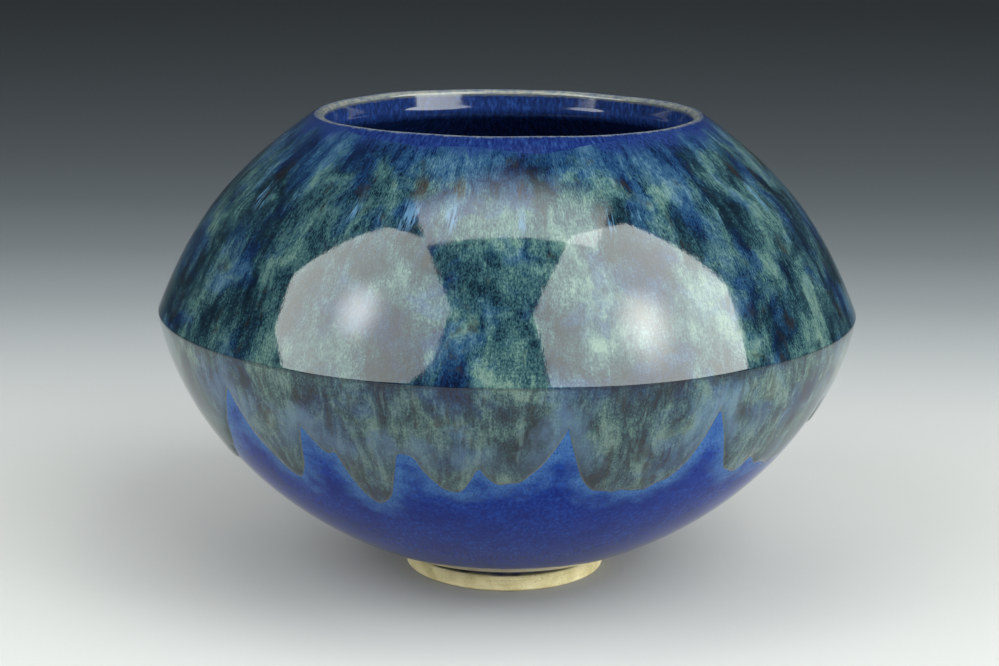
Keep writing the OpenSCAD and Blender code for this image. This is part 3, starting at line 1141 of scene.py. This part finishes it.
green_stops = [
    (0.26, glaze_colour(12, 24, 38)),
    (0.38, glaze_colour(20, 42, 58)),
    (0.47, glaze_colour(34, 66, 80)),
    (0.55, glaze_colour(58, 94, 105)),
    (0.64, glaze_colour(90, 128, 128)),
    (0.78, glaze_colour(138, 168, 158)),
]
blue_stops = [
    (0.26, glaze_colour(10, 20, 50)),
    (0.40, glaze_colour(20, 44, 86)),
    (0.52, glaze_colour(34, 74, 118)),
    (0.64, glaze_colour(68, 108, 142)),
    (0.78, glaze_colour(112, 150, 174)),
]
green_melt = tones(tree, "green melt", value, green_stops)
blue_melt = tones(tree, "blue melt", value, blue_stops)
hue_sizes = {"detail": 4.0, "wander": 0.012, "shift": 71.0, "rough": 0.6}
hue = running(tree, "blue places", 0.013, 0.011, **hue_sizes)
bluer_top = mask_between(tree, "bluer under the lip", rise, 0.044, 0.062)
top_part = maths(tree, "top share", "MULTIPLY", bluer_top, TOP_BLUE_SHARE)
bluer_value = maths(tree, "bluer", "ADD", hue, top_part)
bluer = mask_between(tree, "blue share", bluer_value, 0.45, 0.66)
melt = blend(tree, "two melts", bluer, green_melt, blue_melt)
print("running glaze: melt colours ready")

# %% [markdown]
# ## Running glaze: pools, comets and the skirt
#
# Iron gathers in small brown pools. Under the lip some of them burst and drew a short tail
# of light blue below them, like a comet. Below the ridge the coat is thinner and shows
# brown and cream lines between the tongues. High in the bays between the tongues it turns
# milky. Along the ridge itself a thin dark line is a painted reflection of the dark room
# between the softboxes.

# %% Running glaze: pools and comets
brown_noise = running(
    tree, "brown pools", 0.0048, 0.0062, detail=4.0, wander=0.006, shift=23.0, rough=0.65
)
brown_grain = stir_in(tree, "grain in the pools", brown_noise, grain, 0.22)
brown = mask_between(tree, "brown", brown_grain, 0.58, 0.70)
browned = blend(tree, "brown on", brown, melt, glaze_colour(50, 44, 40), 0.62)
comet_way = running(
    tree, "comet directions", 0.0046, 0.09, detail=1.0, wander=0.002, shift=83.2, rough=0.5
)
comet_fine = stir_in(tree, "hair in the comets", comet_way, hair, 0.75)
comet = mask_between(tree, "comet", comet_fine, 0.62, 0.74)
head_zone = zone(tree, "head zone", rise, 0.0430, 0.0475, 0.0485, 0.0530)
head = maths(tree, "head", "MULTIPLY", head_zone, comet)
headed = blend(tree, "comet heads", head, browned, glaze_colour(58, 44, 34), 0.85)
tail_zone = zone(tree, "tail zone", rise, 0.0335, 0.0390, 0.0405, 0.0455)
tail = maths(tree, "tail", "MULTIPLY", tail_zone, comet)
tailed = blend(tree, "comet tails", tail, headed, glaze_colour(112, 158, 200), 0.85)
print("running glaze: pools and comets ready")

# %% Running glaze: skirt, milky bays and ridge line
RIDGE_SHIFT = 0.0001

skirt_noise = running(
    tree, "skirt lines", 0.0017, 0.0105, detail=4.0, wander=0.003, shift=31.0, rough=0.6
)
brown_lines = mask_between(tree, "brown lines", skirt_noise, 0.46, 0.36)
cream_lines = mask_between(tree, "cream lines", skirt_noise, 0.56, 0.70)
brown_part = maths(tree, "brown in the skirt", "MULTIPLY", brown_lines, skirt)
cream_part = maths(tree, "cream in the skirt", "MULTIPLY", cream_lines, skirt)
lined = blend(tree, "brown lines on", brown_part, tailed, glaze_colour(48, 48, 50), 0.5)
skirted = blend(tree, "cream lines on", cream_part, lined, glaze_colour(150, 184, 184), 0.4)
milk_noise = running(
    tree, "milky width", 0.003, 0.007, detail=4.0, wander=0.003, shift=91.0, rough=0.6
)
milk_width = maths(tree, "uneven milk", "MULTIPLY", milk_noise, 0.017)
milk_reach = maths(tree, "in the milk", "SUBTRACT", milk_width, off)
milk = mask_between(tree, "milky", milk_reach, 0.0, 0.0075)
high_bay = mask_between(tree, "high on the belly", rise, -0.027, -0.012)
milk_part = maths(tree, "milky bays", "MULTIPLY", milk, high_bay)
milky = blend(tree, "milky blue on", milk_part, skirted, glaze_colour(122, 162, 204), 0.62)
# Painted reflection: a thin dark line along the ridge, where its rounded edge mirrors the dark
# room between the softboxes.
ridge_rise = maths(tree, "height over the ridge", "ADD", rise, RIDGE_SHIFT)
ridge_off = maths(tree, "off the ridge", "ABSOLUTE", ridge_rise)
ridge_noise = running(tree, "ridge noise", 0.006, 0.006)
ridge_width = maths(tree, "ridge width", "MULTIPLY", ridge_noise, 0.0009)
ridge_reach = maths(tree, "in the ridge line", "SUBTRACT", ridge_width, ridge_off)
painted_ridge_reflection = mask_between(tree, "on the ridge", ridge_reach, -0.0002, 0.0003)
with_ridge_reflection = blend(tree, "painted dark reflection on the ridge", painted_ridge_reflection, milky, glaze_colour(20, 28, 44), 0.45)
print("running glaze: local marks ready")

# %% [markdown]
# ## Running glaze: its two edges
#
# A hair-thin olive line follows the lower edge, where the coat ends in a roll, and the glaze
# just inside it is a little darker. At the top the coat has no line at all: it thins
# out grain by grain into the blue under the lip.

# %% Running glaze: edges
edge_noise = running(tree, "edge width", 0.002, 0.002, detail=2.0)
edge_width = maths(tree, "uneven edge", "MULTIPLY", edge_noise, 0.0016)
rim_reach = maths(tree, "in the rim", "SUBTRACT", edge_width, off)
dark_rim = mask_between(tree, "dark rim", rim_reach, -0.0010, 0.0006)
rimmed = blend(tree, "dark rim on", dark_rim, with_ridge_reflection, glaze_colour(50, 76, 92), 0.3)
line_width = maths(tree, "line width", "MULTIPLY", edge_width, 0.55)
line_reach = maths(tree, "in the line", "SUBTRACT", line_width, off)
olive_line = mask_between(tree, "olive line", line_reach, -0.0001, 0.0003)
edged = blend(tree, "olive line on", olive_line, rimmed, glaze_colour(136, 146, 132), 0.75)
fade_broad = running(
    tree, "upper edge", 0.009, 0.009, detail=4.0, wander=0.002, shift=61.0, rough=0.6
)
fade_shift = maths(tree, "uneven upper edge", "MULTIPLY", fade_broad, 0.014)
fade_grain = maths(tree, "grainy upper edge", "MULTIPLY", grain, 0.009)
fade_low = maths(tree, "height of the upper edge", "ADD", rise, fade_shift)
fade_rise = maths(tree, "upper edge line", "ADD", fade_low, fade_grain)
fade = mask_between(tree, "fades into the blue", fade_rise, 0.0690, 0.0755)
top_stops = [(0.3, glaze_colour(16, 30, 92)), (0.7, glaze_colour(52, 82, 154))]
faded = blend(tree, "upper edge on", fade, edged, tones(tree, "top blue", grain, top_stops))
tree.links.new(faded, shader.inputs["Base Color"])
streak_up = maths(tree, "streak relief", "MULTIPLY", streak, 0.00001)
gloss(tree, shader, 0.00005, 0.000004, roughness=0.04, dull=0.07, extra_height=streak_up)
wear(running_coat, running_glaze)
print("running glaze on", running_coat.name)

# %% [markdown]
# ## Lip and liner
#
# On the crest the glaze is too thin to colour the clay, so the lip is a glossy grey cream
# with blue clinging to it in places. The liner inside is the same blue, thicker and deeper.

# %% Material: lip break
lip_break, tree, shader = new_material("lip_break", glaze_colour(112, 116, 114), 0.15)
turn_up = read_measure(tree, "crest_turn")
patchy = running(tree, "thin places", 0.0035, 0.0012, detail=4.0, rough=0.6)
lip_stops = [
    (0.32, glaze_colour(102, 114, 140)),
    (0.46, glaze_colour(138, 144, 150)),
    (0.62, glaze_colour(168, 168, 158)),
]
lip_tone = tones(tree, "lip tones", patchy, lip_stops)
outer_side = mask_between(tree, "outer side", turn_up, 78.0, 52.0)
sided = blend(tree, "blue side", outer_side, lip_tone, glaze_colour(40, 60, 120))
tree.links.new(sided, shader.inputs["Base Color"])
gloss(tree, shader, ripple=0.00003, pits=0.000006, roughness=0.1, dull=0.15)
wear(lip, lip_break)
print("lip break on", lip.name)

# %% Material: liner glaze
liner_glaze, tree, shader = new_material("liner_glaze", glaze_colour(26, 45, 99), 0.1)
way = read_measure(tree, "way")
fine = running(tree, "mottle", 0.0013, 0.002, detail=4.0, rough=0.65)
liner_stops = [
    (0.3, glaze_colour(26, 42, 84)),
    (0.5, glaze_colour(34, 58, 124)),
    (0.7, glaze_colour(50, 86, 166)),
]
liner_tone = tones(tree, "liner tones", fine, liner_stops)
break_noise = running(tree, "break noise", 0.002, 0.001)
break_shift = maths(tree, "uneven break", "MULTIPLY", break_noise, 0.001)
break_way = maths(tree, "break line", "ADD", way, break_shift)
crest_reach = (LINER_END - 0.0003, LINER_END + 0.0004)
near_crest = mask_between(tree, "thins at the crest", break_way, *crest_reach)
thinned = blend(tree, "thin edge", near_crest, liner_tone, glaze_colour(112, 118, 124))
tree.links.new(thinned, shader.inputs["Base Color"])
gloss(tree, shader, ripple=0.00004, pits=0.000004, roughness=0.06, dull=0.08)
wear(liner, liner_glaze)
print("liner glaze on", liner.name)

# %% [markdown]
# ## Table
#
# The table is one large flat sheet with the fall of the studio light painted on it: a painted
# pool of light, pale round the pot and in front of it, and painted shade darker towards the
# back, so that the pale foot and the dark lip both stand clear of it. One flat plane is enough,
# because only its shade changes. Far away the paint turns black and the sheet glows instead
# with a painted grey of the room, so that no edge shows at the horizon.

# %% Table
TABLE_HALF = 9.0
TABLE_LIGHT = 2.05
SHEET_PALE = 230
SHEET_DARK = 73
SHEET_HALF_WAY = 0.345
SHEET_STEEP = 2.6
SHEET_END = 2.0
SHEET_STOPS = 16
SHEET_FAR = (1.2, 5.0)
SHEET_TINT = (1.008, 1.0, 1.01)
SHEET_COOL = 0.075
COOL_SPAN = 170
BLACK = (0, 0, 0, 1)
ROOM_GREY = screen_colour(56, 62, 68)

deselect_all()
bpy.ops.mesh.primitive_plane_add(size=2 * TABLE_HALF)
table = bpy.context.object
table.name = "table"


def painted_pool_colour(value):
    """A grey of the painted pool of light, cooler where it is darker, as seen in the studio
    light.
    """
    cool = SHEET_COOL * (SHEET_PALE - value) / COOL_SPAN
    red, green, blue = SHEET_TINT
    return screen_colour(value * (red - cool), value * green, value * (blue + cool), TABLE_LIGHT)


def painted_pool_grey(depth):
    """The painted light at one depth behind the middle of the pot: pale, then falling off
    smoothly.
    """
    fall = 1 + (depth / SHEET_HALF_WAY) ** SHEET_STEEP
    return SHEET_DARK + (SHEET_PALE - SHEET_DARK) / fall


# Painted light: the sheet's grey falls off with depth as the lamps' light would, and turns cooler
# as it darkens.
painted_pool_stops = []
for stop in range(SHEET_STOPS):
    share = (stop / (SHEET_STOPS - 1)) ** 2
    painted_pool_stops.append((share, painted_pool_colour(painted_pool_grey(share * SHEET_END))))
table_finish, tree, shader = new_material("table_finish", (0.3, 0.3, 0.3, 1), 0.9)
shader.inputs["Specular IOR Level"].default_value = 0.1
place = place_on_object(tree)
behind = split(tree, "depth", place)[1]
share_inputs = {"Value": behind, "From Min": 0.0, "From Max": SHEET_END}
sheet_share = add_node(tree, "ShaderNodeMapRange", "share of the sheet", share_inputs)
shade = tones(tree, "painted pool of light on the table", sheet_share.outputs["Result"], painted_pool_stops)
# Far away the sheet's colour turns black and it glows with the room's grey: a painted glow, since
# the table is no lamp.
dusk = mask_between(tree, "far away", vector_length(tree, "distance", place), *SHEET_FAR)
dimmed = blend(tree, "painted pool fades to black", dusk, shade, BLACK)
glow = blend(tree, "painted room glow fades in", dusk, BLACK, ROOM_GREY)
tree.links.new(dimmed, shader.inputs["Base Color"])
tree.links.new(glow, shader.inputs["Emission Color"])
shader.inputs["Emission Strength"].default_value = 1.0
wear(table, table_finish)
print("table", TABLE_HALF * 2, "m wide")

# %% [markdown]
# ## Lamps
#
# Two big eight-sided softboxes stand in front on the left and the right, and show as broad
# highlights on the shoulder. Their corners are cut off by a mask on the lamp itself, and
# the bulb behind the cloth makes the middle brighter. A weaker panel hangs overhead. A
# dim panel behind keeps the back of the pot readable, and is kept out of the reflections.

# %% Lamps
POT_MIDDLE = Vector((0, 0, 0.09))
LAMP_COLOUR = (0.95, 1.0, 0.94)
CORNER_BLUR = 0.012
OVERHEAD_PLACE = (0.03, -0.155, 1.6)
BOX_TILT = 12


def add_lamp(name, facing, height, distance, width, depth, brightness):
    """A soft lamp, placed by its direction round the pot and its height in degrees."""
    data = bpy.data.lights.new(name, "AREA")
    data.shape = "RECTANGLE"
    data.size = width
    data.size_y = depth
    data.energy = brightness * math.pi * width * depth
    data.color = LAMP_COLOUR
    lamp = bpy.data.objects.new(name, data)
    turn = math.radians(facing)
    up = math.radians(height)
    way = Vector((math.sin(turn) * math.cos(up), -math.cos(turn) * math.cos(up), math.sin(up)))
    lamp.location = POT_MIDDLE + distance * way
    lamp.rotation_euler = way.to_track_quat("Z", "Y").to_euler()
    bpy.context.scene.collection.objects.link(lamp)
    return lamp


def place_on_lamp(tree):
    """The place on a lamp, from 0 to 1 both ways."""
    return add_node(tree, "ShaderNodeNewGeometry", "place on the lamp").outputs["Parametric"]


def cut_corners(lamp, bulb, bulb_size, cut, outward):
    """Masks a square lamp to an octagon, and brightens its middle and its outer side."""
    lamp.data.use_nodes = True
    tree = lamp.data.node_tree
    middle = vector_maths(tree, "from the middle", "SUBTRACT", place_on_lamp(tree), (0.5, 0.5, 0))
    flat = vector_maths(tree, "from -1 to 1 both ways", "MULTIPLY", middle, (2, 2, 0))
    reach = split(tree, "reach both ways", vector_maths(tree, "reach", "ABSOLUTE", flat))
    corner_reach = maths(tree, "corner reach", "ADD", reach[0], reach[1])
    octagon = mask_between(tree, "octagon", corner_reach, cut + CORNER_BLUR, cut - CORNER_BLUR)
    glow = mask_between(tree, "bulb glow", vector_length(tree, "far", flat), bulb_size, 0.0)
    glow_up = maths(tree, "bulb", "MULTIPLY", glow, bulb)
    strength = maths(tree, "cloth and bulb", "ADD", glow_up, 1.0)
    sideways = split(tree, "sideways", flat)[0]
    outer = maths(tree, "outer side", "MULTIPLY", sideways, outward)
    leaned = maths(tree, "brighter outside", "ADD", strength, outer)
    masked = maths(tree, "masked", "MULTIPLY", leaned, octagon)
    tree.links.new(masked, tree.nodes["Emission"].inputs["Strength"])


def fade_back(lamp, dark_from, bright_to):
    """Dims a panel softly towards its back edge."""
    lamp.data.use_nodes = True
    tree = lamp.data.node_tree
    back = split(tree, "towards the back", place_on_lamp(tree))[1]
    strength = mask_between(tree, "dims to the back", back, dark_from, bright_to)
    tree.links.new(strength, tree.nodes["Emission"].inputs["Strength"])


left_box = add_lamp(
    "left_softbox", facing=-57, height=36.5, distance=2.0, width=2.0, depth=2.0, brightness=5.5
)
cut_corners(left_box, bulb=1.6, bulb_size=0.34, cut=1.24, outward=-0.3)
left_box.rotation_euler.rotate_axis("Z", math.radians(BOX_TILT))
right_box = add_lamp(
    "right_softbox", facing=51, height=35, distance=2.0, width=2.45, depth=2.45, brightness=7.1
)
cut_corners(right_box, bulb=1.6, bulb_size=0.34, cut=1.28, outward=0.3)
right_box.rotation_euler.rotate_axis("Z", math.radians(-BOX_TILT))
overhead = add_lamp(
    "overhead_panel", facing=0, height=89.9, distance=1.5, width=1.3, depth=0.76, brightness=5.2
)
fade_back(overhead, dark_from=0.88, bright_to=0.35)
overhead.location = OVERHEAD_PLACE
overhead.rotation_euler = (0, 0, 0)
back_panel = add_lamp(
    "back_panel", facing=180, height=48, distance=2.4, width=2.6, depth=1.4, brightness=1.5
)
back_panel.visible_glossy = False
print("two softboxes, an overhead panel and a back panel stand")

# %% Room
world = bpy.data.worlds.new("studio_room")
world.use_nodes = True
room = world.node_tree.nodes["Background"]
room.inputs["Color"].default_value = ROOM_GREY
room.inputs["Strength"].default_value = 1.0
bpy.context.scene.world = world
bpy.context.scene.view_settings.view_transform = "Standard"
print("lamps and room ready")
